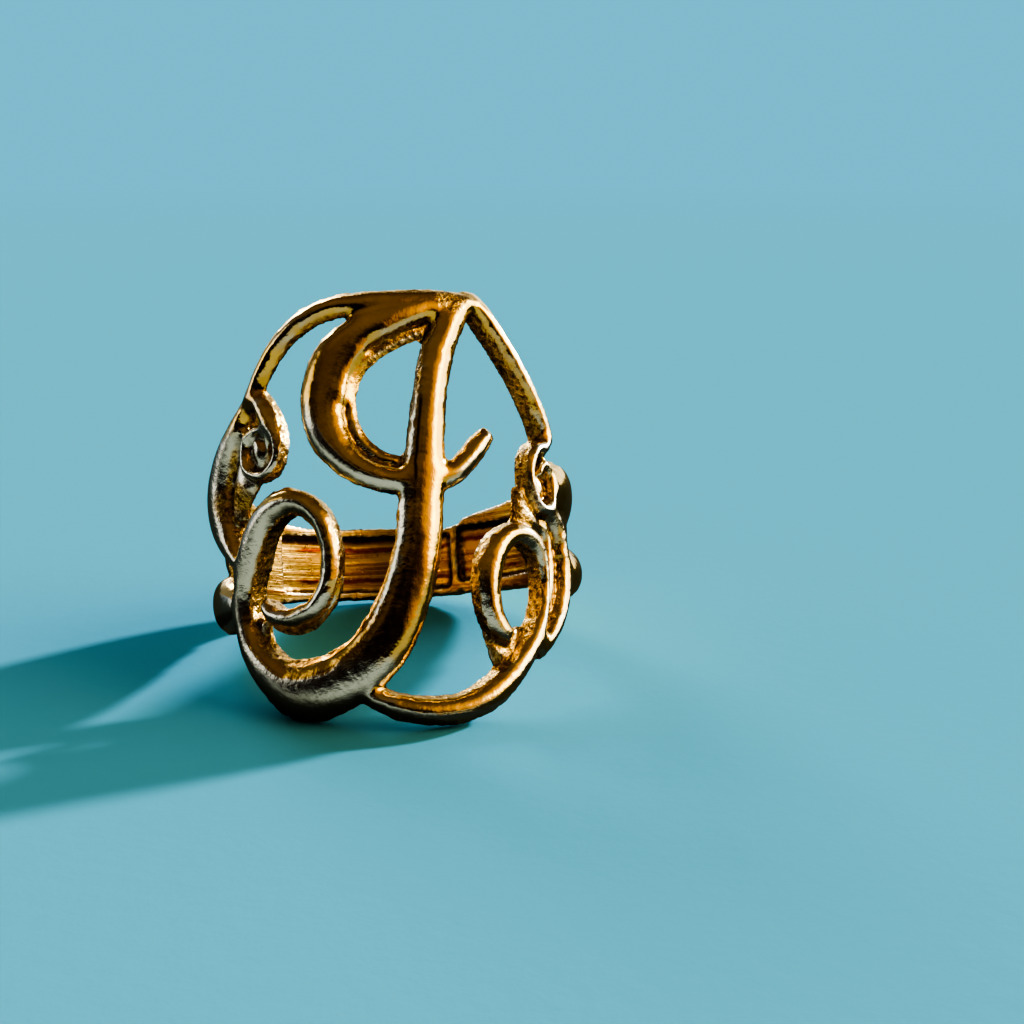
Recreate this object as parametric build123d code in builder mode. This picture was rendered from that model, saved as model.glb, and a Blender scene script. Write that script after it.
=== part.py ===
"""An adjustable openwork ring whose face is one scrolled script capital, cast in one piece."""
import os
from collections import namedtuple
from math import cos, degrees, radians, sin, tan

from build123d import *

os.makedirs("parts", exist_ok=True)

# The finger hole and the metal around it, in millimetres
bore_diameter = 17.6
metal_depth = 1.6
bow_radius = 80.0

# The script capital on the face
initial_height = 22.4
stem_width = 3.0
scroll_width = 1.3
crown_share = 0.13
wall_draft = -5.0
scroll_draft = 3.0

# The shank, its split and the hollow inside it
shank_width = 4.4
shank_thickness = 1.25
shank_drop = 0.75
shoulder_turn = 68.0
split_turn = 160.4
split_gap = 0.2
split_step = 0.3
channel_turn = 124.0
channel_depth = 0.5
channel_rim = 0.55

bore_radius = bore_diameter / 2
face_radius = bore_radius + metal_depth
split_half_turn = degrees(split_gap / 2 / bore_radius)

# turn in degrees around the finger, seen from the front and to the right, up as a share
# of initial_height, width as a share of the stroke's named width, lift of metal_depth
Station = namedtuple("Station", "turn up width lift")

stem_stations = [
    Station(33.2, 0.481, 0.38, 0.98),
    Station(28.8, 0.446, 0.46, 1.00),
    Station(24.4, 0.396, 0.56, 1.00),
    Station(21.1, 0.346, 0.60, 1.00),
    Station(18.7, 0.274, 0.61, 1.00),
    Station(16.9, 0.203, 0.64, 1.00),
    Station(15.6, 0.131, 0.69, 1.00),
    Station(14.4, 0.060, 0.75, 1.00),
    Station(13.3, -0.011, 0.80, 1.00),
    Station(12.1, -0.083, 0.83, 1.00),
    Station(9.7, -0.154, 0.87, 1.00),
    Station(6.2, -0.226, 0.90, 1.00),
    Station(1.2, -0.294, 0.95, 1.00),
    Station(-7.3, -0.353, 0.96, 1.00),
    Station(-18.6, -0.394, 0.98, 1.00),
    Station(-30.2, -0.394, 0.92, 1.00),
    Station(-40, -0.348, 0.76, 1.00),
    Station(-46.8, -0.288, 0.60, 1.00),
    Station(-49.3, -0.224, 0.52, 1.00),
    Station(-48.6, -0.152, 0.54, 1.00),
    Station(-45, -0.083, 0.64, 1.00),
    Station(-38.6, -0.010, 0.58, 1.00),
    Station(-30.5, 0.028, 0.54, 0.99),
    Station(-22.8, 0.025, 0.46, 0.98),
    Station(-17, -0.013, 0.42, 0.97),
    Station(-14.3, -0.070, 0.38, 0.96),
    Station(-14.2, -0.126, 0.37, 0.96),
    Station(-16.4, -0.180, 0.38, 0.95),
    Station(-21.8, -0.220, 0.38, 0.94),
    Station(-30, -0.230, 0.37, 0.92),
    Station(-36.4, -0.217, 0.34, 0.90),
    Station(-40, -0.183, 0.24, 0.86),
]

crescent_stations = [
    Station(30, 0.470, 0.32, 0.90),
    Station(22.7, 0.463, 0.38, 0.94),
    Station(15.5, 0.449, 0.44, 0.96),
    Station(6.4, 0.429, 0.55, 0.97),
    Station(-3.2, 0.401, 0.67, 0.98),
    Station(-10.9, 0.353, 0.82, 0.99),
    Station(-14.6, 0.281, 0.86, 1.00),
    Station(-15, 0.217, 0.80, 1.00),
    Station(-13, 0.165, 0.72, 0.99),
    Station(-8.6, 0.115, 0.60, 0.98),
    Station(-2.4, 0.079, 0.51, 0.96),
    Station(4.6, 0.060, 0.47, 0.92),
    Station(14, 0.055, 0.44, 0.88),
    Station(22.4, 0.066, 0.44, 0.90),
    Station(28, 0.098, 0.42, 0.93),
    Station(33.2, 0.142, 0.40, 0.93),
    Station(36.8, 0.170, 0.28, 0.88),
]

left_arc_stations = [
    Station(33, 0.486, 0.60, 0.92),
    Station(24.5, 0.489, 0.60, 0.93),
    Station(15.5, 0.486, 0.66, 0.94),
    Station(6.4, 0.483, 0.78, 0.95),
    Station(-2.7, 0.479, 0.90, 0.95),
    Station(-10.9, 0.474, 0.96, 0.95),
    Station(-18.4, 0.462, 0.96, 0.95),
    Station(-26.2, 0.434, 0.98, 0.95),
    Station(-32.9, 0.394, 1.00, 0.95),
    Station(-38.1, 0.346, 0.96, 0.94),
    Station(-41.6, 0.300, 0.84, 0.92),
    Station(-43.8, 0.262, 0.60, 0.88),
]

left_spiral_stations = [
    Station(-41.4, 0.300, 0.50, 0.86),
    Station(-38.6, 0.276, 0.86, 0.93),
    Station(-35.4, 0.243, 0.88, 0.94),
    Station(-32.2, 0.213, 0.66, 0.94),
    Station(-30.8, 0.178, 0.50, 0.94),
    Station(-31.3, 0.137, 0.42, 0.93),
    Station(-34.4, 0.110, 0.40, 0.93),
    Station(-38.7, 0.102, 0.40, 0.92),
    Station(-43.2, 0.116, 0.46, 0.91),
    Station(-45.9, 0.150, 0.54, 0.90),
    Station(-45.6, 0.188, 0.54, 0.89),
    Station(-42.3, 0.212, 0.44, 0.88),
    Station(-37.9, 0.207, 0.34, 0.87),
    Station(-35.4, 0.183, 0.28, 0.86),
    Station(-35.6, 0.155, 0.22, 0.85),
]

right_arc_stations = [
    Station(32, 0.489, 0.70, 0.92),
    Station(35.8, 0.484, 0.80, 0.94),
    Station(40.3, 0.446, 0.84, 0.96),
    Station(45.2, 0.398, 0.84, 0.96),
    Station(50.6, 0.343, 0.82, 0.96),
    Station(55.6, 0.286, 0.80, 0.96),
    Station(60, 0.230, 0.80, 0.96),
    Station(62.7, 0.181, 0.76, 0.95),
    Station(60.5, 0.152, 0.66, 0.94),
    Station(56.6, 0.145, 0.58, 0.94),
    Station(53, 0.115, 0.52, 0.94),
    Station(52, 0.070, 0.50, 0.93),
    Station(54.2, 0.018, 0.50, 0.92),
    Station(58.5, -0.002, 0.52, 0.92),
    Station(63, 0.022, 0.50, 0.90),
    Station(64.6, 0.070, 0.46, 0.88),
    Station(62.3, 0.108, 0.42, 0.87),
    Station(58.9, 0.103, 0.36, 0.86),
    Station(58, 0.078, 0.26, 0.85),
]

right_scroll_stations = [
    Station(-5, -0.418, 0.70, 0.88),
    Station(0, -0.431, 0.90, 0.93),
    Station(5, -0.444, 1.00, 0.95),
    Station(11.8, -0.454, 1.04, 0.96),
    Station(19.1, -0.457, 1.06, 0.97),
    Station(27.3, -0.447, 1.12, 0.97),
    Station(35.5, -0.419, 1.16, 0.97),
    Station(43, -0.374, 1.06, 0.97),
    Station(49.6, -0.319, 0.94, 0.97),
    Station(54, -0.258, 0.70, 0.97),
    Station(55.8, -0.196, 0.54, 0.97),
    Station(55.4, -0.138, 0.62, 0.97),
    Station(53.2, -0.094, 0.82, 0.97),
    Station(48.2, -0.066, 0.90, 0.97),
    Station(42.4, -0.066, 0.90, 0.97),
    Station(37.6, -0.092, 1.06, 0.97),
    Station(34.3, -0.140, 1.16, 0.96),
    Station(33.4, -0.197, 1.10, 0.95),
    Station(34.8, -0.250, 1.02, 0.94),
    Station(37.8, -0.284, 0.92, 0.93),
    Station(41.6, -0.303, 0.64, 0.90),
]

left_frame_stations = [
    Station(-42.4, 0.318, 0.66, 0.82),
    Station(-46, 0.276, 0.90, 0.86),
    Station(-51.8, 0.232, 1.16, 0.92),
    Station(-57.6, 0.184, 1.50, 1.00),
    Station(-62.2, 0.128, 1.80, 1.07),
    Station(-64, 0.070, 1.96, 1.09),
    Station(-62.9, 0.016, 1.84, 1.03),
    Station(-59, -0.032, 1.46, 0.92),
    Station(-54.8, -0.070, 1.06, 0.83),
    Station(-51.6, -0.096, 0.80, 0.76),
]

right_frame_stations = [
    Station(59, 0.010, 0.70, 0.84),
    Station(63.6, -0.011, 0.82, 0.90),
    Station(67, -0.047, 0.86, 0.92),
    Station(69, -0.104, 0.86, 0.93),
    Station(69.5, -0.161, 0.86, 0.93),
    Station(67.9, -0.219, 0.86, 0.93),
    Station(63.6, -0.269, 0.86, 0.92),
    Station(57.9, -0.311, 0.80, 0.90),
    Station(52.9, -0.338, 0.70, 0.86),
]

crescent_ledge_stations = [
    Station(24, 0.424, 0.46, 0.60),
    Station(12, 0.394, 0.54, 0.62),
    Station(2.6, 0.361, 0.56, 0.64),
    Station(-3.8, 0.319, 0.60, 0.66),
    Station(-6.8, 0.268, 0.64, 0.66),
    Station(-7, 0.222, 0.66, 0.66),
    Station(-5.2, 0.173, 0.64, 0.66),
    Station(-1.2, 0.132, 0.62, 0.64),
    Station(5, 0.104, 0.60, 0.62),
    Station(12, 0.094, 0.60, 0.60),
]

stem_ledge_stations = [
    Station(-36.5, -0.328, 0.40, 0.60),
    Station(-31, -0.338, 0.62, 0.66),
    Station(-24.4, -0.343, 0.70, 0.66),
    Station(-17.6, -0.333, 0.66, 0.66),
    Station(-9.6, -0.302, 0.56, 0.66),
    Station(-4.4, -0.262, 0.50, 0.66),
    Station(-1, -0.226, 0.50, 0.64),
    Station(1.6, -0.186, 0.45, 0.60),
]

scroll_ledge_stations = [
    Station(-37.5, -0.236, 0.40, 0.58),
    Station(-33.5, -0.247, 0.54, 0.62),
    Station(-28.6, -0.254, 0.54, 0.62),
    Station(-22.3, -0.246, 0.54, 0.62),
    Station(-17.2, -0.217, 0.54, 0.62),
    Station(-13.9, -0.188, 0.50, 0.62),
    Station(-12.4, -0.150, 0.40, 0.58),
]

# The recessed webs that the casting leaves between a scroll and the stroke beside it
scroll_web_stations = [
    Station(-42.5, -0.222, 0.50, 0.62),
    Station(-42.3, -0.262, 0.52, 0.62),
    Station(-41, -0.312, 0.60, 0.62),
]
curl_web_stations = [
    Station(39.8, -0.285, 1.85, 0.62),
    Station(41.4, -0.335, 1.50, 0.62),
    Station(43.4, -0.375, 1.20, 0.62),
]
upper_web_stations = [
    Station(53, 0.050, 1.60, 0.62),
    Station(52.6, -0.010, 1.80, 0.62),
    Station(52, -0.052, 1.80, 0.62),
]

frame_web_stations = [
    Station(57.8, 0.095, 0.80, 0.60),
    Station(58.6, 0.045, 0.90, 0.60),
    Station(60.4, -0.005, 0.95, 0.62),
    Station(63.5, -0.060, 0.95, 0.62),
    Station(64.5, -0.120, 0.95, 0.62),
    Station(64, -0.180, 0.95, 0.62),
    Station(61, -0.245, 0.90, 0.62),
]
left_web_stations = [
    Station(-52.5, 0.008, 1.00, 0.64),
    Station(-53.2, 0.060, 1.40, 0.66),
    Station(-48.6, 0.115, 1.90, 0.66),
    Station(-45, 0.165, 2.10, 0.66),
    Station(-42.8, 0.216, 1.75, 0.66),
]

# The two lobes that each end of the shank spreads into, widths of shank_width
left_upper_lobe = [
    Station(-108, 0.022, 0.52, 0.78),
    Station(-94, 0.067, 0.60, 0.84),
    Station(-80, 0.096, 0.64, 0.92),
    Station(-68, 0.100, 0.60, 0.92),
    Station(-59, 0.092, 0.40, 0.84),
]
left_lower_lobe = [
    Station(-108, -0.129, 0.46, 0.76),
    Station(-94, -0.148, 0.58, 0.84),
    Station(-80, -0.165, 0.70, 0.92),
    Station(-66, -0.178, 0.66, 0.92),
    Station(-52, -0.190, 0.40, 0.78),
]
right_upper_lobe = [
    Station(108, 0.034, 0.52, 0.74),
    Station(94, 0.062, 0.56, 0.74),
    Station(82, 0.074, 0.56, 0.75),
    Station(72, 0.070, 0.48, 0.77),
    Station(64, 0.056, 0.30, 0.76),
]
right_lower_lobe = [
    Station(108, -0.107, 0.50, 0.78),
    Station(94, -0.124, 0.56, 0.88),
    Station(84, -0.138, 0.58, 0.94),
    Station(76, -0.146, 0.54, 0.92),
    Station(68, -0.166, 0.42, 0.80),
]

# The shank's two halves, from the shoulder (0) to the split (1), with their edges
# above and below the shank's middle line as shares of shank_width, thick of shank_thickness
ShankStation = namedtuple("ShankStation", "way top bottom thick")

left_shank_stations = [
    ShankStation(0.00, 1.00, -0.92, 0.55),
    ShankStation(0.16, 0.96, -0.86, 0.58),
    ShankStation(0.29, 0.76, -0.68, 0.72),
    ShankStation(0.43, 0.57, -0.55, 0.90),
    ShankStation(0.60, 0.51, -0.50, 1.00),
    ShankStation(0.80, 0.50, -0.50, 1.00),
    ShankStation(1.00, 0.50, -0.50, 1.00),
]
right_shank_stations = [
    ShankStation(0.00, 0.86, -0.80, 0.55),
    ShankStation(0.24, 0.90, -0.76, 0.60),
    ShankStation(0.44, 0.86, -0.64, 0.75),
    ShankStation(0.66, 0.75, -0.54, 0.92),
    ShankStation(0.85, 0.66, -0.51, 1.00),
    ShankStation(1.00, 0.56, -0.49, 1.00),
]


def ring_point(turn, height, radius):
    """The point at an angle around the finger, a height along it and a radius."""
    return Vector(radius * sin(radians(turn)), -radius * cos(radians(turn)), height)


def bowed(radius, height):
    """The radius at a height: the face curves in a little towards its top and bottom."""
    return radius - height**2 / (2 * bow_radius)


def hermite(a, b, c, d, t):
    """The smooth value between b and c, where a and d are their neighbours."""
    slope_b, slope_c = (c - a) / 2, (d - b) / 2
    return ((2 * t**3 - 3 * t**2 + 1) * b + (t**3 - 2 * t**2 + t) * slope_b
            + (3 * t**2 - 2 * t**3) * c + (t**3 - t**2) * slope_c)


def smoothed(stations, steps):
    """The stations, with smooth ones worked out between them."""
    ends = [stations[0], *stations, stations[-1]]
    run = []
    for i in range(len(stations) - 1):
        for step in range(steps):
            run.append(Station(*(hermite(*values, step / steps) for values in zip(*ends[i:i + 4]))))
    return run + [stations[-1]]


def stroke_planes(run):
    """A plane square to the stroke at each station, x across it and y out of the finger."""
    centres = [ring_point(s.turn, s.up * initial_height, bowed(face_radius, s.up * initial_height))
               for s in run]
    planes = []
    for i, s in enumerate(run):
        along = centres[min(i + 1, len(run) - 1)] - centres[max(i - 1, 0)]
        lean = s.up * initial_height / bow_radius
        outward = ring_point(s.turn, sin(lean), cos(lean))
        along = (along - outward * along.dot(outward)).normalized()
        planes.append(Plane(centres[i], x_dir=outward.cross(along), z_dir=along))
    return planes


def stroke_corners(s, width, draft, recess):
    """The corners of a stroke's section: front left, crown, front right, back right, back left."""
    half = s.width * width / 2
    crown = (s.lift - 1) * metal_depth
    edge = crown - 2 * half * crown_share
    foot = recess - metal_depth
    flare = half + (edge - foot) * tan(radians(draft))
    return [(-half, edge), (0, crown), (half, edge), (flare, foot), (-flare, foot)]


def stroke_sections(stations, width, draft, recess, steps=2):
    """The domed sections of a stroke. Its back lies a recess outside the finger hole."""
    run = smoothed(stations, steps)
    sections = []
    for plane, s in zip(stroke_planes(run), run):
        left, crown, right, *back = stroke_corners(s, width, draft, recess)
        with BuildSketch(plane) as section:
            with BuildLine():
                ThreePointArc(left, crown, right)
                Polyline(right, *back, left)
            make_face()
        sections.append(section.sketch)
    return sections


def shank_sections(stations, last_turn):
    """The sections of half the shank, a little domed outside."""
    side = 1 if last_turn > 0 else -1
    sections = []
    for s in stations:
        turn = side * shoulder_turn + s.way * (last_turn - side * shoulder_turn)
        plane = Plane(ring_point(turn, -shank_drop, bore_radius), x_dir=(0, 0, 1),
                      z_dir=Vector(0, 0, 1).cross(ring_point(turn, 0, 1)))
        top, bottom = s.top * shank_width, s.bottom * shank_width
        crown = s.thick * shank_thickness
        edge = crown * (1 - crown_share)
        with BuildSketch(plane) as section:
            with BuildLine():
                ThreePointArc((bottom, edge), ((top + bottom) / 2, crown), (top, edge))
                Polyline((top, edge), (top, 0), (bottom, 0), (bottom, edge))
            make_face()
        sections.append(section.sketch)
    return sections


# The strokes of the capital. Each has its own recess, so that no two backs lie together
with BuildPart() as stem:
    loft(stroke_sections(stem_stations, stem_width, wall_draft, recess=0.0))

with BuildPart() as crescent:
    loft(stroke_sections(crescent_stations, stem_width, wall_draft, recess=0.06))

with BuildPart() as left_arc:
    loft(stroke_sections(left_arc_stations, scroll_width, scroll_draft, recess=0.75))

with BuildPart() as left_spiral:
    loft(stroke_sections(left_spiral_stations, scroll_width, scroll_draft, recess=0.38))

with BuildPart() as right_arc:
    loft(stroke_sections(right_arc_stations, scroll_width, scroll_draft, recess=0.14))

with BuildPart() as right_scroll:
    loft(stroke_sections(right_scroll_stations, scroll_width, scroll_draft, recess=0.25))

with BuildPart() as left_frame:
    loft(stroke_sections(left_frame_stations, scroll_width, scroll_draft, recess=0.20))

with BuildPart() as right_frame:
    loft(stroke_sections(right_frame_stations, scroll_width, scroll_draft, recess=0.22))

ledges = []
for stations, recess in ((crescent_ledge_stations, 0.55), (stem_ledge_stations, 0.52),
                         (scroll_ledge_stations, 0.50)):
    with BuildPart() as ledge:
        loft(stroke_sections(stations, scroll_width, scroll_draft, recess=recess))
    ledges.append(ledge.part)

webs = []
for stations in (scroll_web_stations, curl_web_stations, upper_web_stations, frame_web_stations,
                 left_web_stations):
    with BuildPart() as web:
        loft(stroke_sections(stations, scroll_width, scroll_draft, recess=0.30, steps=1))
    webs.append(web.part)

# The shank, from the lobes at its shoulders to the split at the back
lobes = []
for stations, recess in ((left_upper_lobe, 0.12), (left_lower_lobe, 0.16),
                         (right_upper_lobe, 0.12), (right_lower_lobe, 0.17)):
    with BuildPart() as lobe:
        loft(stroke_sections(stations, shank_width, scroll_draft, recess=recess))
    lobes.append(lobe.part)


def channel_profile(turn, middle):
    """The section of the hollow inside the shank, at an angle around the finger."""
    outward = ring_point(turn, 0, 1)
    with BuildSketch(Plane((0, 0, 0), x_dir=outward, z_dir=outward.cross(Vector(0, 0, 1)))) as profile:
        with Locations((bore_radius, middle)):
            Rectangle(2 * channel_depth, shank_width - 2 * channel_rim)
    return profile.sketch


rim_turn = split_half_turn + degrees(channel_rim / bore_radius)

with BuildPart() as left_shank:
    loft(shank_sections(left_shank_stations, split_turn + split_half_turn - 360))
    revolve(channel_profile(split_turn + rim_turn, -shank_drop), axis=Axis.Z,
            revolution_arc=360 - channel_turn - split_turn - rim_turn, mode=Mode.SUBTRACT)

with BuildPart() as right_shank:
    loft(shank_sections(right_shank_stations, split_turn - split_half_turn))
    revolve(channel_profile(channel_turn, split_step - shank_drop), axis=Axis.Z,
            revolution_arc=split_turn - channel_turn, mode=Mode.SUBTRACT)

with BuildPart() as casting:
    add([stem.part, crescent.part, left_arc.part, left_spiral.part, right_arc.part, right_scroll.part,
         left_frame.part, right_frame.part, left_shank.part, right_shank.part, *ledges, *webs, *lobes])


def stroke_rim(stations, width, draft, recess):
    """The points along the edges and the crown of a stroke."""
    run = smoothed(stations, steps=4)
    return [plane.from_local_coords(corner) for plane, s in zip(stroke_planes(run), run)
            for corner in stroke_corners(s, width, draft, recess)]


def shank_rim():
    """The points along the lower outer edge of the shank's plain stretch."""
    radius = bore_radius + shank_thickness * (1 - crown_share)
    return [ring_point(turn, -shank_width / 2 - shank_drop, radius)
            for turn in range(int(split_turn) + 2, int(360 - channel_turn))]


def resting_plane(rims, rounds=12):
    """The plane that the casting rests on: each round takes the lowest point of each rim."""
    upward = Vector(0, 0, 1)
    for _ in range(rounds):
        feet = [min(rim, key=lambda point: point.dot(upward)) for rim in rims]
        upward = (feet[1] - feet[0]).cross(feet[2] - feet[0]).normalized()
        upward = upward if upward.Z > 0 else upward * -1
    sideways = (Vector(1, 0, 0) - upward * upward.X).normalized()
    return Plane(upward * feet[0].dot(upward), x_dir=sideways, z_dir=upward)


# The ring as it rests by itself, on two lobes of the capital and the back of the shank,
# with the middle of its footprint at the origin
table = resting_plane([stroke_rim(stem_stations, stem_width, wall_draft, recess=0.0),
                       stroke_rim(right_scroll_stations, scroll_width, scroll_draft, recess=0.25),
                       shank_rim()])

rested = casting.part.moved(table.location.inverse())
room = rested.bounding_box()
foot = Vector(room.center().X, room.center().Y, room.min.Z)

with BuildPart() as initial_ring:
    add(rested.moved(Location(-foot)))

initial_ring.part.label = "initial_ring"
export_step(initial_ring.part, "parts/initial_ring.step")
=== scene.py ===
from math import radians

import bmesh
import bpy
import numpy as np
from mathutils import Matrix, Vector, noise


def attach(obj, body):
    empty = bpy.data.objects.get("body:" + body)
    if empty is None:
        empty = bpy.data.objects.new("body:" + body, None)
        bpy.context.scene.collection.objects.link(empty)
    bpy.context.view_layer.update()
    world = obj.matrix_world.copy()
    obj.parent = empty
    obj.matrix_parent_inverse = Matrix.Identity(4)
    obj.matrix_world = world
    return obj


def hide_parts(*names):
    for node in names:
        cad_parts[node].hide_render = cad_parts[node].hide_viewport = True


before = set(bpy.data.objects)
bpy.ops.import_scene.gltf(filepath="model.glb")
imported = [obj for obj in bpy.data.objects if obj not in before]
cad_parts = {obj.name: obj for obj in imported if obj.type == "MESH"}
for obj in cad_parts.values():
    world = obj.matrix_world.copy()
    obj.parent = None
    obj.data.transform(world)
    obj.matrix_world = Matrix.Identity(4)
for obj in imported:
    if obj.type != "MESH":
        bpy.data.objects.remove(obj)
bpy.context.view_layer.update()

# where the finger goes, in metres: the middle of the ring, its axis and the way that the face looks
fingerHole = {
    "middle": (-0.000035, 0.001619, 0.006654),
    "axis": (-0.0625, 0.3937, 0.9171),
    "front": (-0.0268, -0.9192, 0.3928),
    "radius": 0.0088,
}

# the ring: one casting, softened and worn, with lengths in metres
castRing = {
    "weld": 1e-7,
    "voxel": 0.000143,
    "smoothing": 0.5,
    "smoothRounds": 5,
    "crown": 0.00030,          # how far a face falls away towards its edges
    "crownReach": 0.0015,
    "crownPower": 3,
    "edgeRound": 0.00012,
    "edgeRoundReach": 0.0004,
    "edgeRoundPower": 2,
    "wallRounds": 80,          # how far down a wall follows its face
    "wallGrain": 0.00006,      # how far the cast grain stands in and out on the walls
    "wallGrainSize": 0.0006,
    "wallGrainMiddle": 0.4,
    "lumps": 0.00002,          # hand finishing left the thin strokes and edges uneven
    "lumpSize": 0.0008,
    "lumpMiddle": 0.5,
    "faceRipple": 0.00001,
    "faceRippleSize": 0.0022,
    "edgeSpread": 10,
    "recess": 0.00925,         # faces nearer to the finger than this are left as cast
    "recessFade": 0.0002,
    "rubbedAndFloorSheenWay": (-0.5, -0.25, -0.8),       # the way that faces turn where the plate is pale: faces turned to the floor, so it is partly rubbed wear and partly a painted reflection of the bright floor
    "rubbedAndFloorSheenLoss": 0.85,        # how much less rubbed wear and painted floor reflection there is at the sides and higher up
    "roughCore": 0.6,          # share of a rough place that is rough all over
}

# roughness, step between octaves and number of octaves of the cast grain
grainFractal = (0.6, 2.1, 3)

# how squarely a surface looks away from the finger, from -1 inside to 1 on the face
facingLimit = {"face": 0.6, "inside": -0.5, "rim": 0.75}

# from and to: where each part of the surface begins and where it is complete
fade = {
    "grainyWall": (0.4, 0.7),
    "nearEdge": (0.0003, 0.0009),
    "recessedFace": (0.5, 0.8),
    "roughFace": (0.3, 0.6),
    "castWall": (0.35, 0.62),
    "insideFace": (0.4, 0.8),
    "rubbedAndFloorSheen": (-0.12, 0.24),
    "rubbedAndFloorSheenTurn": (0.9, 1.3),
    "rubbedAndFloorSheenHeight": (0.0030, 0.0065),
    "curl": (0.00001, 0.00006),
}

# places on the front that were never polished: way round, height and reach, in millimetres
roughPlaces = {
    "leftWeb": (-8.1, 1.3, 1.35),
    "rightWeb": (7.5, 0.2, 1.4),
    "top": (4.1, 10.7, 1.0),
    "innerCorner": (-4.3, -7.2, 0.8),
}


def smoothStep(low, high, values):
    share = np.clip((values - low) / (high - low), 0.0, 1.0)
    return share * share * (3.0 - 2.0 * share)


def unitWay(way):
    return np.array(Vector(way).normalized())


def finishedMesh(piece):
    # the mesh with its modifiers applied
    shown = piece.evaluated_get(bpy.context.evaluated_depsgraph_get())
    mesh = bpy.data.meshes.new_from_object(shown)
    piece.modifiers.clear()
    piece.data = mesh
    return mesh


def softCasting(node):
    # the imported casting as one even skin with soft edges
    bm = bmesh.new()
    bm.from_mesh(node.data)
    bmesh.ops.remove_doubles(bm, verts=bm.verts, dist=castRing["weld"])
    mesh = bpy.data.meshes.new("castRing")
    bm.to_mesh(mesh)
    bm.free()
    piece = bpy.data.objects.new("castRing", mesh)
    bpy.context.scene.collection.objects.link(piece)
    remesh = piece.modifiers.new("oneSkin", "REMESH")
    remesh.mode = "VOXEL"
    remesh.voxel_size = castRing["voxel"]
    remesh.use_smooth_shade = True
    smooth = piece.modifiers.new("softEdges", "SMOOTH")
    smooth.factor = castRing["smoothing"]
    smooth.iterations = castRing["smoothRounds"]
    return piece


def meshArrays(mesh):
    count = len(mesh.vertices)
    places = np.empty(count * 3)
    mesh.vertices.foreach_get("co", places)
    normals = np.empty(count * 3)
    mesh.vertices.foreach_get("normal", normals)
    return places.reshape(-1, 3), normals.reshape(-1, 3)


def edgeEnds(mesh):
    pairs = np.empty(len(mesh.edges) * 2, np.int64)
    mesh.edges.foreach_get("vertices", pairs)
    return pairs[0::2], pairs[1::2]


def spreadOut(mesh, values, rounds):
    # each point takes the mean of itself and its neighbours, over and over
    first, second = edgeEnds(mesh)
    count = len(mesh.vertices)
    near = np.bincount(first, minlength=count) + np.bincount(second, minlength=count)
    columns = values.reshape(count, -1).copy()
    for _ in range(rounds):
        for k in range(columns.shape[1]):
            column = columns[:, k]
            total = np.bincount(first, column[second], count)
            total = total + np.bincount(second, column[first], count)
            columns[:, k] = 0.5 * column + 0.5 * total / near
    return columns.reshape(values.shape)


def stepsFromEdge(mesh, places, isEdge, reach):
    # how far each point lies from the nearest edge point, walked along the skin
    first, second = edgeEnds(mesh)
    lengths = np.linalg.norm(places[first] - places[second], axis=1)
    reached = np.where(isEdge, 0.0, reach)
    for _ in range(int(reach / castRing["voxel"]) + 2):
        np.minimum.at(reached, first, reached[second] + lengths)
        np.minimum.at(reached, second, reached[first] + lengths)
    return reached


def ringDirections(places):
    # how far along the finger, how far round it from the front, and the way outwards
    axis = Vector(fingerHole["axis"]).normalized()
    front = Vector(fingerHole["front"]).normalized()
    right = front.cross(axis) * -1
    fromMiddle = places - np.array(fingerHole["middle"])
    along = fromMiddle @ np.array(axis)
    outward = fromMiddle - along[:, None] * np.array(axis)
    radius = np.linalg.norm(outward, axis=1)
    outward = outward / radius[:, None]
    turn = np.arctan2(outward @ np.array(right), outward @ np.array(front))
    return along, turn, radius, outward


def fallAway(fromEdge, depth, reach, power):
    return depth * (1.0 - np.clip(fromEdge / reach, 0, 1)) ** power


def crownFaces(mesh):
    # the drawn strokes are rounded across: their faces fall away to both edges
    places, normals = meshArrays(mesh)
    outward = ringDirections(places)[3]
    facing = (spreadOut(mesh, normals, 1) * outward).sum(1)
    isFace, isInside = facing > facingLimit["face"], facing < facingLimit["inside"]
    fromEdge = spreadOut(mesh, stepsFromEdge(mesh, places, ~isFace, castRing["crownReach"]), 3)
    broad = fallAway(fromEdge, castRing["crown"], castRing["crownReach"], castRing["crownPower"])
    narrow = fallAway(fromEdge, castRing["edgeRound"], castRing["edgeRoundReach"],
                      castRing["edgeRoundPower"])
    wanted = np.where(isFace, broad + narrow, 0.0)
    drop = wanted.copy()
    for _ in range(castRing["wallRounds"]):  # a wall comes down with its face, least at its foot
        drop = spreadOut(mesh, drop, 1)
        drop = np.where(isFace, wanted, np.where(isInside, 0.0, drop))
    return places - outward * spreadOut(mesh, drop, 2)[:, None]


def grainPush(mesh):
    # how far the cast grain, the lumps and the ripple move each point
    places, normals = meshArrays(mesh)
    outward = ringDirections(places)[3]
    facing = (spreadOut(mesh, normals, 2) * outward).sum(1)
    wall = 1.0 - smoothStep(*fade["grainyWall"], np.abs(facing))
    isEdge = np.abs(facing) < facingLimit["face"]
    fromEdge = spreadOut(mesh, stepsFromEdge(mesh, places, isEdge, castRing["crownReach"]), 2)
    nearEdge = 1.0 - smoothStep(*fade["nearEdge"], fromEdge)

    print("ring: cast grain on", len(places), "points")
    grain = np.empty(len(places))
    lumps = np.empty(len(places))
    ripple = np.empty(len(places))
    for i, place in enumerate(places):
        grain[i] = noise.fractal(place / castRing["wallGrainSize"], *grainFractal)
        lumps[i] = noise.noise(place / castRing["lumpSize"])
        ripple[i] = noise.noise(place / castRing["faceRippleSize"])
    onWalls = wall * (grain - castRing["wallGrainMiddle"]) * castRing["wallGrain"]
    onEdges = nearEdge * (lumps - castRing["lumpMiddle"]) * castRing["lumps"]
    return onWalls + onEdges + ripple * castRing["faceRipple"]


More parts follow.
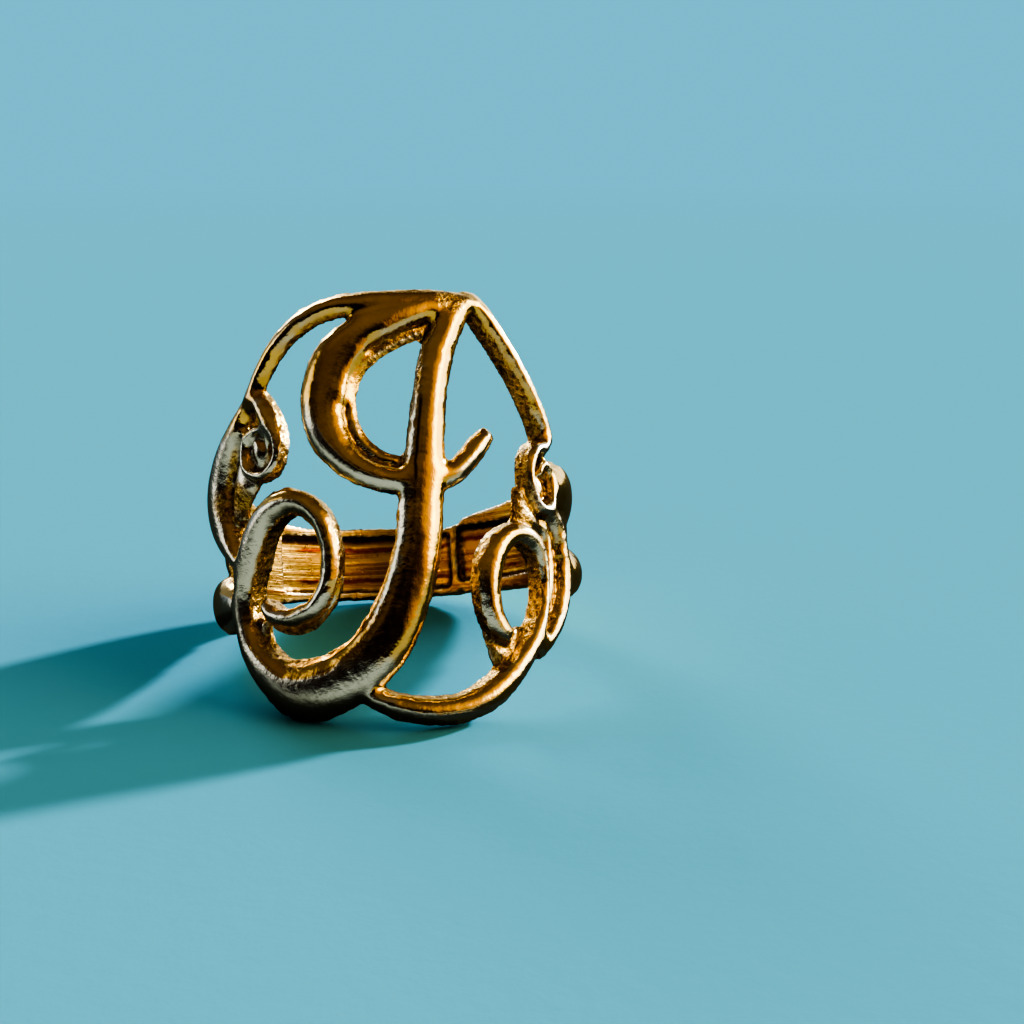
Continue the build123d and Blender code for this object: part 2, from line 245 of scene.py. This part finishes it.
def wearMasks(mesh):
    # where the casting is rough, rubbed with a painted floor reflection, worn or hollow with
    # painted shade, and where each point lies on the ring
    places, normals = meshArrays(mesh)
    along, turn, radius, outward = ringDirections(places)
    arc, height = turn * fingerHole["radius"] * 1000, along * 1000     # in millimetres
    facing = (spreadOut(mesh, normals, 2) * outward).sum(1)
    curl = ((places - spreadOut(mesh, places, castRing["edgeSpread"])) * normals).sum(1)

    recessEnd = castRing["recess"] + castRing["recessFade"]
    recessed = smoothStep(*fade["recessedFace"], facing)
    recessed = recessed * (1.0 - smoothStep(castRing["recess"], recessEnd, radius))
    roughFace = smoothStep(*fade["roughFace"], facing)
    for wayRound, up, reach in roughPlaces.values():
        away = np.hypot(arc - wayRound, height - up)
        rough = roughFace * (1.0 - smoothStep(reach * castRing["roughCore"], reach, away))
        recessed = np.maximum(recessed, rough)

    spared = np.maximum(smoothStep(*fade["rubbedAndFloorSheenTurn"], np.abs(turn)),
                        smoothStep(*fade["rubbedAndFloorSheenHeight"], along))
    # pale where the plate is rubbed: on faces turned to the floor, so this also paints a reflection
    # of the bright floor
    rubbedAndFloorSheen = smoothStep(*fade["rubbedAndFloorSheen"], normals @ unitWay(castRing["rubbedAndFloorSheenWay"]))
    isRim = np.abs(normals @ unitWay(fingerHole["axis"])) > facingLimit["rim"]
    fromRim = spreadOut(mesh, stepsFromEdge(mesh, places, isRim, castRing["crownReach"]), 2)
    masks = {
        "castWall": np.maximum(1.0 - smoothStep(*fade["castWall"], np.abs(facing)), recessed),
        "insideFace": smoothStep(*fade["insideFace"], -facing),
        "rubbedAndFloorSheen": rubbedAndFloorSheen * (1.0 - castRing["rubbedAndFloorSheenLoss"] * spared),
        "wornEdge": smoothStep(*fade["curl"], curl),
        # hollow: concave places, darkened in the material as tarnish and painted shade
        "hollow": smoothStep(*fade["curl"], -curl),
        "fromRim": fromRim * 1000,     # in millimetres
    }
    return masks, np.stack([arc, height, radius * 1000], 1)


print("ring: softening the casting")
ring = softCasting(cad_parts["initial_ring"])
ringMesh = finishedMesh(ring)

print("ring: rounding the faces")
ringMesh.vertices.foreach_set("co", crownFaces(ringMesh).ravel())
ringMesh.update()

push = grainPush(ringMesh)
places, normals = meshArrays(ringMesh)
ringMesh.vertices.foreach_set("co", (places + normals * push[:, None]).ravel())
ringMesh.update()

masks, roundFinger = wearMasks(ringMesh)
for name, values in masks.items():
    attribute = ringMesh.attributes.new(name, "FLOAT", "POINT")
    attribute.data.foreach_set("value", values.astype(np.float32))
attribute = ringMesh.attributes.new("roundFinger", "FLOAT_VECTOR", "POINT")
attribute.data.foreach_set("vector", roundFinger.astype(np.float32).ravel())
print("ring:", len(ringMesh.polygons), "faces")

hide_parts("initial_ring")
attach(ring, "root")


# materials
def newMaterial(name):
    material = bpy.data.materials.new(name)
    material.use_nodes = True
    tree = material.node_tree
    return material, tree, tree.nodes["Principled BSDF"]


def addNode(tree, kind, values=(), **settings):
    added = tree.nodes.new("ShaderNode" + kind)
    for name, value in settings.items():
        setattr(added, name, value)
    for name, value in dict(values).items():
        added.inputs[name].default_value = value
    return added


def feed(tree, socket, value):
    # a plain value goes on the socket itself, and another node's output is linked to it
    if isinstance(value, (int, float, tuple)):
        socket.default_value = value
    else:
        tree.links.new(value, socket)


def colourMix(tree, amount, first, second):
    mix = addNode(tree, "Mix", data_type="RGBA")
    feed(tree, mix.inputs[0], amount)
    feed(tree, mix.inputs[6], first)
    feed(tree, mix.inputs[7], second)
    return mix.outputs[2]


def numberMix(tree, amount, first, second):
    mix = addNode(tree, "Mix", data_type="FLOAT")
    feed(tree, mix.inputs[0], amount)
    feed(tree, mix.inputs[2], first)
    feed(tree, mix.inputs[3], second)
    return mix.outputs[0]


def mapped(tree, value, low, high, toLow=0.0, toHigh=1.0):
    scale = addNode(tree, "MapRange", {"From Min": low, "From Max": high,
                                       "To Min": toLow, "To Max": toHigh})
    tree.links.new(value, scale.inputs["Value"])
    return scale.outputs["Result"]


def maths(tree, operation, *values):
    step = addNode(tree, "Math", operation=operation)
    for socket, value in zip(step.inputs, values):
        feed(tree, socket, value)
    return step.outputs[0]


def product(tree, first, second):
    return maths(tree, "MULTIPLY", first, second)


def noiseOn(tree, vector, scale, detail, roughness):
    texture = addNode(tree, "TexNoise", {"Scale": scale, "Detail": detail, "Roughness": roughness})
    tree.links.new(vector, texture.inputs["Vector"])
    return texture.outputs["Fac"]


def bumpFrom(tree, shader, height, strength, distance):
    bump = addNode(tree, "Bump", {"Strength": strength, "Distance": distance})
    tree.links.new(height, bump.inputs["Height"])
    tree.links.new(bump.outputs["Normal"], shader.inputs["Normal"])


goldPlate = {
    "polished": (0.82, 0.58, 0.18, 1.0),
    "deep": (0.58, 0.36, 0.085, 1.0),
    "cast": (0.72, 0.49, 0.15, 1.0),
    "wornAndFloorSheen": (0.66, 0.70, 0.66, 1.0),      # pale metal: the plate rubbed through, and on faces turned to the floor also a painted reflection of the bright floor
    # dark tarnish, also used for painted shade in hollows and on the cast walls, and for painted
    # reflections of dark bands on the stem
    "tarnishShadeAndReflection": (0.045, 0.016, 0.006, 1.0),
    "inside": (0.56, 0.37, 0.10, 1.0),
    "insideStreak": (0.24, 0.09, 0.02, 1.0),
    "line": (0.16, 0.015, 0.006, 1.0),    # painted shade: dark red lines where the channel inside the shank steps down
    "lineFromRim": 0.8,                   # in millimetres
    "polishedRoughness": 0.09,
    "castRoughness": 0.16,
    "insideRough": 0.16,                  # added where a finger rubs
    "wornRough": 0.05,
    "darkRough": 0.2,
    "raggedness": 1.1,                    # how far clouds shift the border of the rubbed areas and their painted floor reflection
    "wornRelief": 0.3,
    "streakRelief": 0.6,
    "bump": 0.6,
    "bumpDistance": 0.00014,
}

# scale, detail and roughness of each noise
goldNoise = {
    "clouds": (420.0, 5.0, 0.6),
    "fine": (3200.0, 4.0, 0.65),
    "grains": (4200.0, 3.0, 0.7),
    "streaks": (1.0, 4.0, 0.6),
    "wobble": (900.0, 3.0, 0.6),
}
streakStretch = (0.10, 2.6, 0.0)

# from and to of each value, and what they are turned into where that isn't 0 and 1
goldRange = {
    "clouds": (0.35, 0.65),
    "streaks": (0.46, 0.62, 0.0, 0.9),
    "line": (0.08, 0.22, 0.9, 0.0),
    "lineArc": (20.2, 20.9),              # the painted shade lines are only at the back, in millimetres
    "wornEdge": (0.3, 0.6),
    "rubbedAndFloorSheen": (0.75, 1.05),
    "hollow": (0.25, 0.55),
    "pitsAndWallShade": (0.46, 0.60, 0.0, 0.85),
    "darkLineDepth": (9.6, 9.9),             # the painted reflection lines are only on the outer face, in millimetres
    "fineRoughness": (0.3, 0.75, 0.0, 0.12),
}

# dark lines on the stem's face, a painted reflection of dark bands in the surroundings: place round
# the finger and height at both ends, width, in millimetres
darkReflectionLines = {
    "upperDarkLine": {"start": (2.26, 5.5), "end": (1.76, 1.0), "width": 0.10, "strength": 0.9},
    "lowerDarkLine": {"start": (1.91, -1.3), "end": (1.63, -4.8), "width": 0.30, "strength": 0.75},
}
darkLineShape = {
    "wobble": 2.0,       # shares of a mark's width
    "core": 0.3,
    "endFade": 0.3,      # in millimetres
}


def darkLineMask(tree, arc, height, wobble, mark):
    # a thin upright dark line of painted reflection: strongest on its line, fading sideways and at
    # both ends
    (startArc, startHeight), (endArc, endHeight) = mark["start"], mark["end"]
    width, endFade = mark["width"], darkLineShape["endFade"]
    slope = (endArc - startArc) / (endHeight - startHeight)
    onLine = maths(tree, "MULTIPLY_ADD", height, slope, startArc - slope * startHeight)
    aside = maths(tree, "SUBTRACT", arc, onLine)
    aside = maths(tree, "ADD", aside, product(tree, wobble, width * darkLineShape["wobble"]))
    aside = maths(tree, "ABSOLUTE", aside)
    across = mapped(tree, aside, width * darkLineShape["core"], width, mark["strength"], 0.0)
    above = mapped(tree, height, endHeight - endFade, endHeight + endFade)
    below = mapped(tree, height, startHeight - endFade, startHeight + endFade, 1.0, 0.0)
    return product(tree, across, product(tree, above, below))


def makeGold():
    material, tree, shader = newMaterial("goldPlate")
    shader.inputs["Metallic"].default_value = 1.0
    place = addNode(tree, "TexCoord").outputs["Object"]
    masks = {name: addNode(tree, "Attribute", attribute_name=name).outputs["Fac"]
             for name in ("castWall", "insideFace", "rubbedAndFloorSheen", "wornEdge", "hollow", "fromRim")}
    castWall, insideFace = masks["castWall"], masks["insideFace"]
    around = addNode(tree, "Attribute", attribute_name="roundFinger").outputs["Vector"]
    split = addNode(tree, "SeparateXYZ")
    tree.links.new(around, split.inputs["Vector"])
    arc, height, depth = split.outputs

    clouds = noiseOn(tree, place, *goldNoise["clouds"])
    fine = noiseOn(tree, place, *goldNoise["fine"])
    grains = noiseOn(tree, place, *goldNoise["grains"])
    drawn = addNode(tree, "Mapping", {"Scale": streakStretch})     # streaks run round the finger
    tree.links.new(around, drawn.inputs["Vector"])
    streaks = noiseOn(tree, drawn.outputs["Vector"], *goldNoise["streaks"])
    onFace = maths(tree, "SUBTRACT", 1.0, castWall)

    colour = colourMix(tree, mapped(tree, clouds, *goldRange["clouds"]),
                       goldPlate["polished"], goldPlate["deep"])
    colour = colourMix(tree, castWall, colour, goldPlate["cast"])
    colour = colourMix(tree, insideFace, colour, goldPlate["inside"])
    streakShade = product(tree, insideFace, mapped(tree, streaks, *goldRange["streaks"]))
    colour = colourMix(tree, streakShade, colour, goldPlate["insideStreak"])
    # painted shade: a dark red line at either side where the channel inside the shank steps down
    aside = maths(tree, "SUBTRACT", masks["fromRim"], goldPlate["lineFromRim"])
    line = mapped(tree, maths(tree, "ABSOLUTE", aside), *goldRange["line"])
    line = product(tree, line, insideFace)
    atBack = mapped(tree, maths(tree, "ABSOLUTE", arc), *goldRange["lineArc"])
    colour = colourMix(tree, product(tree, line, atBack), colour, goldPlate["line"])

    # the plate worn off on sharp edges, and pale in rubbed areas with a ragged border, which on
    # faces turned to the floor is also a painted reflection of the bright floor
    wornAndFloorSheen = product(tree, masks["wornEdge"], mapped(tree, clouds, *goldRange["wornEdge"]))
    ragged = maths(tree, "MULTIPLY_ADD", clouds, goldPlate["raggedness"], masks["rubbedAndFloorSheen"])
    rubbedAndFloorSheen = mapped(tree, ragged, *goldRange["rubbedAndFloorSheen"])
    wornAndFloorSheen = maths(tree, "MAXIMUM", wornAndFloorSheen, product(tree, rubbedAndFloorSheen, onFace))
    colour = colourMix(tree, wornAndFloorSheen, colour, goldPlate["wornAndFloorSheen"])

    # tarnish and painted shade in hollows and creases, tarnish in the pits of the cast walls that
    # also paints shade onto them, and dark lines on the stem's face that are a painted reflection
    # of dark bands in the surroundings
    dark = product(tree, masks["hollow"], mapped(tree, fine, *goldRange["hollow"]))
    pitsAndWallShade = product(tree, castWall, mapped(tree, grains, *goldRange["pitsAndWallShade"]))
    dark = maths(tree, "MAXIMUM", dark, pitsAndWallShade)
    wobble = maths(tree, "SUBTRACT", noiseOn(tree, place, *goldNoise["wobble"]), 0.5)
    # dark lines painted on the stem's face as a reflection of dark bands in the surroundings
    for mark in darkReflectionLines.values():
        mask = darkLineMask(tree, arc, height, wobble, mark)
        mask = product(tree, mask, mapped(tree, depth, *goldRange["darkLineDepth"]))
        dark = maths(tree, "MAXIMUM", dark, product(tree, mask, onFace))
    colour = colourMix(tree, dark, colour, goldPlate["tarnishShadeAndReflection"])
    tree.links.new(colour, shader.inputs["Base Color"])

    rough = numberMix(tree, castWall, goldPlate["polishedRoughness"], goldPlate["castRoughness"])
    rough = maths(tree, "ADD", rough, mapped(tree, fine, *goldRange["fineRoughness"]))
    for where, name in ((dark, "darkRough"), (wornAndFloorSheen, "wornRough"), (insideFace, "insideRough")):
        rough = maths(tree, "ADD", rough, product(tree, where, goldPlate[name]))
    tree.links.new(rough, shader.inputs["Roughness"])

    relief = numberMix(tree, castWall, clouds, grains)
    wornRelief = product(tree, product(tree, wornAndFloorSheen, fine), goldPlate["wornRelief"])
    relief = maths(tree, "ADD", relief, wornRelief)
    streakRelief = product(tree, product(tree, streaks, insideFace), goldPlate["streakRelief"])
    relief = maths(tree, "ADD", relief, streakRelief)
    bumpFrom(tree, shader, relief, goldPlate["bump"], goldPlate["bumpDistance"])
    return material


print("materials")
ringMesh.materials.clear()
ringMesh.materials.append(makeGold())

# the surface that the ring lies on
stage = {
    "reach": 20.0,
    "sides": 96,
    "colour": (0.082, 0.33, 0.50, 1.0),
    "mirroredShadow": (0.03, 0.04, 0.037, 1.0),    # what the gold mirrors of it is greyer, a painted shadow beside
    "mirroredSunlitPatch": (0.32, 0.37, 0.35, 1.0),    # the ring and a painted patch of sunlight a little in front of it
    # where the painted shadow turns into the painted sunlight, along the floor
    "front": (-0.0125, -0.0190),
    "far": (0.12, 0.455, 0.62, 1.0),         # it melts into the same colour as the room behind it
    "farFade": (0.12, 0.8),
    "roughness": 0.6,
    "fibres": (900.0, 3.0, 0.6),
    "bump": 0.15,
    "bumpDistance": 0.0001,
}
black = (0.0, 0.0, 0.0, 1.0)


def makeBoard():
    material, tree, shader = newMaterial("paleBoard")
    place = addNode(tree, "TexCoord").outputs["Object"]
    fibres = noiseOn(tree, place, *stage["fibres"])
    bumpFrom(tree, shader, fibres, stage["bump"], stage["bumpDistance"])
    mirrored = addNode(tree, "LightPath").outputs["Is Glossy Ray"]
    split = addNode(tree, "SeparateXYZ")
    tree.links.new(place, split.inputs["Vector"])
    # seen in the gold, the floor shows a painted shadow beside the ring and painted sunlight in
    # front of it
    front = mapped(tree, split.outputs["Y"], *stage["front"])
    shown = colourMix(tree, front, stage["mirroredShadow"], stage["mirroredSunlitPatch"])
    colour = colourMix(tree, mirrored, stage["colour"], shown)
    reach = addNode(tree, "VectorMath", operation="LENGTH")
    tree.links.new(place, reach.inputs[0])
    far = mapped(tree, reach.outputs["Value"], *stage["farFade"])
    far = product(tree, far, maths(tree, "SUBTRACT", 1.0, mirrored))
    tree.links.new(colourMix(tree, far, colour, black), shader.inputs["Base Color"])
    tree.links.new(colourMix(tree, far, black, stage["far"]), shader.inputs["Emission Color"])
    shader.inputs["Emission Strength"].default_value = 1.0
    shader.inputs["Roughness"].default_value = stage["roughness"]
    shader.inputs["Specular IOR Level"].default_value = 0.0
    return material


def makeFloor():
    bm = bmesh.new()
    bmesh.ops.create_circle(bm, cap_ends=True, radius=stage["reach"], segments=stage["sides"])
    mesh = bpy.data.meshes.new("floor")
    bm.to_mesh(mesh)
    bm.free()
    mesh.materials.append(makeBoard())
    floor = bpy.data.objects.new("floor", mesh)
    bpy.context.scene.collection.objects.link(floor)


print("stage and light")
makeFloor()

lamps = {
    "lowSun": {"from": (0.80, 0.50, 0.36), "width": 5.0, "power": 6.0,
               "colour": (1.0, 0.96, 0.90)},
    "backSky": {"from": (-0.45, 0.75, 0.45), "width": 25.0, "power": 1.2,
                "colour": (1.0, 0.98, 0.95)},
}
lampDistance = 0.5


def makeLamps():
    for name, values in lamps.items():
        light = bpy.data.lights.new(name, "SUN")
        light.angle = radians(values["width"])
        light.energy = values["power"]
        light.color = values["colour"]
        lamp = bpy.data.objects.new(name, light)
        lamp.location = Vector(values["from"]) * lampDistance
        lamp.rotation_euler = Vector(values["from"]).to_track_quat("Z", "Y").to_euler()
        bpy.context.scene.collection.objects.link(lamp)


makeLamps()

room = {
    "behind": (1.3, 1.25, 1.1, 1.0),      # the lit side, low behind the ring
    "behindLeft": (0.24, 0.26, 0.27, 1.0),
    "over": (0.10, 0.065, 0.035, 1.0),
    "high": (0.20, 0.14, 0.075, 1.0),     # over the camera
    "low": (0.012, 0.006, 0.006, 1.0),    # where the camera stands
    "patches": (2.5, 2.0, 0.5),           # the noise that makes the borders uneven
}

# where one part of the room turns into the next
roomFade = {
    "patches": (0.3, 0.7, -0.12, 0.12),
    "high": (0.42, 0.80),
    "left": (-0.30, -0.65),
    "over": (0.35, 0.75),
    "back": (-0.25, 0.35),
}

# warm patches of the room that the rounded strokes mirror
glows = {
    "amber": {"way": (0.80, -0.36, 0.48), "edge": 0.74, "middle": 0.97,
              "colour": (1.1, 0.62, 0.14, 1.0)},
    "white": {"way": (0.90, -0.16, 0.42), "edge": 0.90, "middle": 0.985,
              "colour": (7.0, 5.6, 3.2, 1.0)},
    "right": {"way": (0.97, 0.12, 0.20), "edge": 0.91, "middle": 0.975,
              "colour": (3.2, 2.9, 2.2, 1.0)},
    "left": {"way": (-0.95, 0.05, 0.30), "edge": 0.95, "middle": 0.99,
             "colour": (1.6, 1.45, 1.2, 1.0)},
}


def makeRoom():
    world = bpy.data.worlds.new("room")
    world.use_nodes = True
    bpy.context.scene.world = world
    tree = world.node_tree
    background = tree.nodes["Background"]
    way = addNode(tree, "TexCoord").outputs["Generated"]
    split = addNode(tree, "SeparateXYZ")
    tree.links.new(way, split.inputs["Vector"])
    patches = mapped(tree, noiseOn(tree, way, *room["patches"]), *roomFade["patches"])
    height = maths(tree, "ADD", split.outputs["Z"], patches)
    front = colourMix(tree, mapped(tree, height, *roomFade["high"]), room["low"], room["high"])
    back = colourMix(tree, mapped(tree, split.outputs["X"], *roomFade["left"]),
                     room["behind"], room["behindLeft"])
    back = colourMix(tree, mapped(tree, height, *roomFade["over"]), back, room["over"])
    light = colourMix(tree, mapped(tree, split.outputs["Y"], *roomFade["back"]), front, back)
    for glow in glows.values():
        dot = addNode(tree, "VectorMath", operation="DOT_PRODUCT")
        tree.links.new(way, dot.inputs[0])
        dot.inputs[1].default_value = Vector(glow["way"]).normalized()
        share = mapped(tree, dot.outputs["Value"], glow["edge"], glow["middle"])
        light = colourMix(tree, share, light, glow["colour"])
    seen = addNode(tree, "LightPath").outputs["Is Camera Ray"]
    tree.links.new(colourMix(tree, seen, light, stage["far"]), background.inputs["Color"])
    background.inputs["Strength"].default_value = 1.0


makeRoom()

bpy.context.scene.view_settings.look = "AgX - Very High Contrast"

view = {
    "place": (0.006448, -0.074065, 0.027962),
    "down": 14.892,
    "roll": 0.0,
    "lens": 49.219,
    "sensor": 36.0,
    "clipStart": 0.002,
    "clipEnd": 10.0,
}


def makeCamera():
    camera = bpy.data.cameras.new("camera")
    camera.lens = view["lens"]
    camera.sensor_width = view["sensor"]
    camera.clip_start = view["clipStart"]
    camera.clip_end = view["clipEnd"]
    holder = bpy.data.objects.new("camera", camera)
    holder.location = view["place"]
    holder.rotation_euler = (radians(90 - view["down"]), radians(view["roll"]), 0.0)
    bpy.context.scene.collection.objects.link(holder)
    bpy.context.scene.camera = holder


makeCamera()
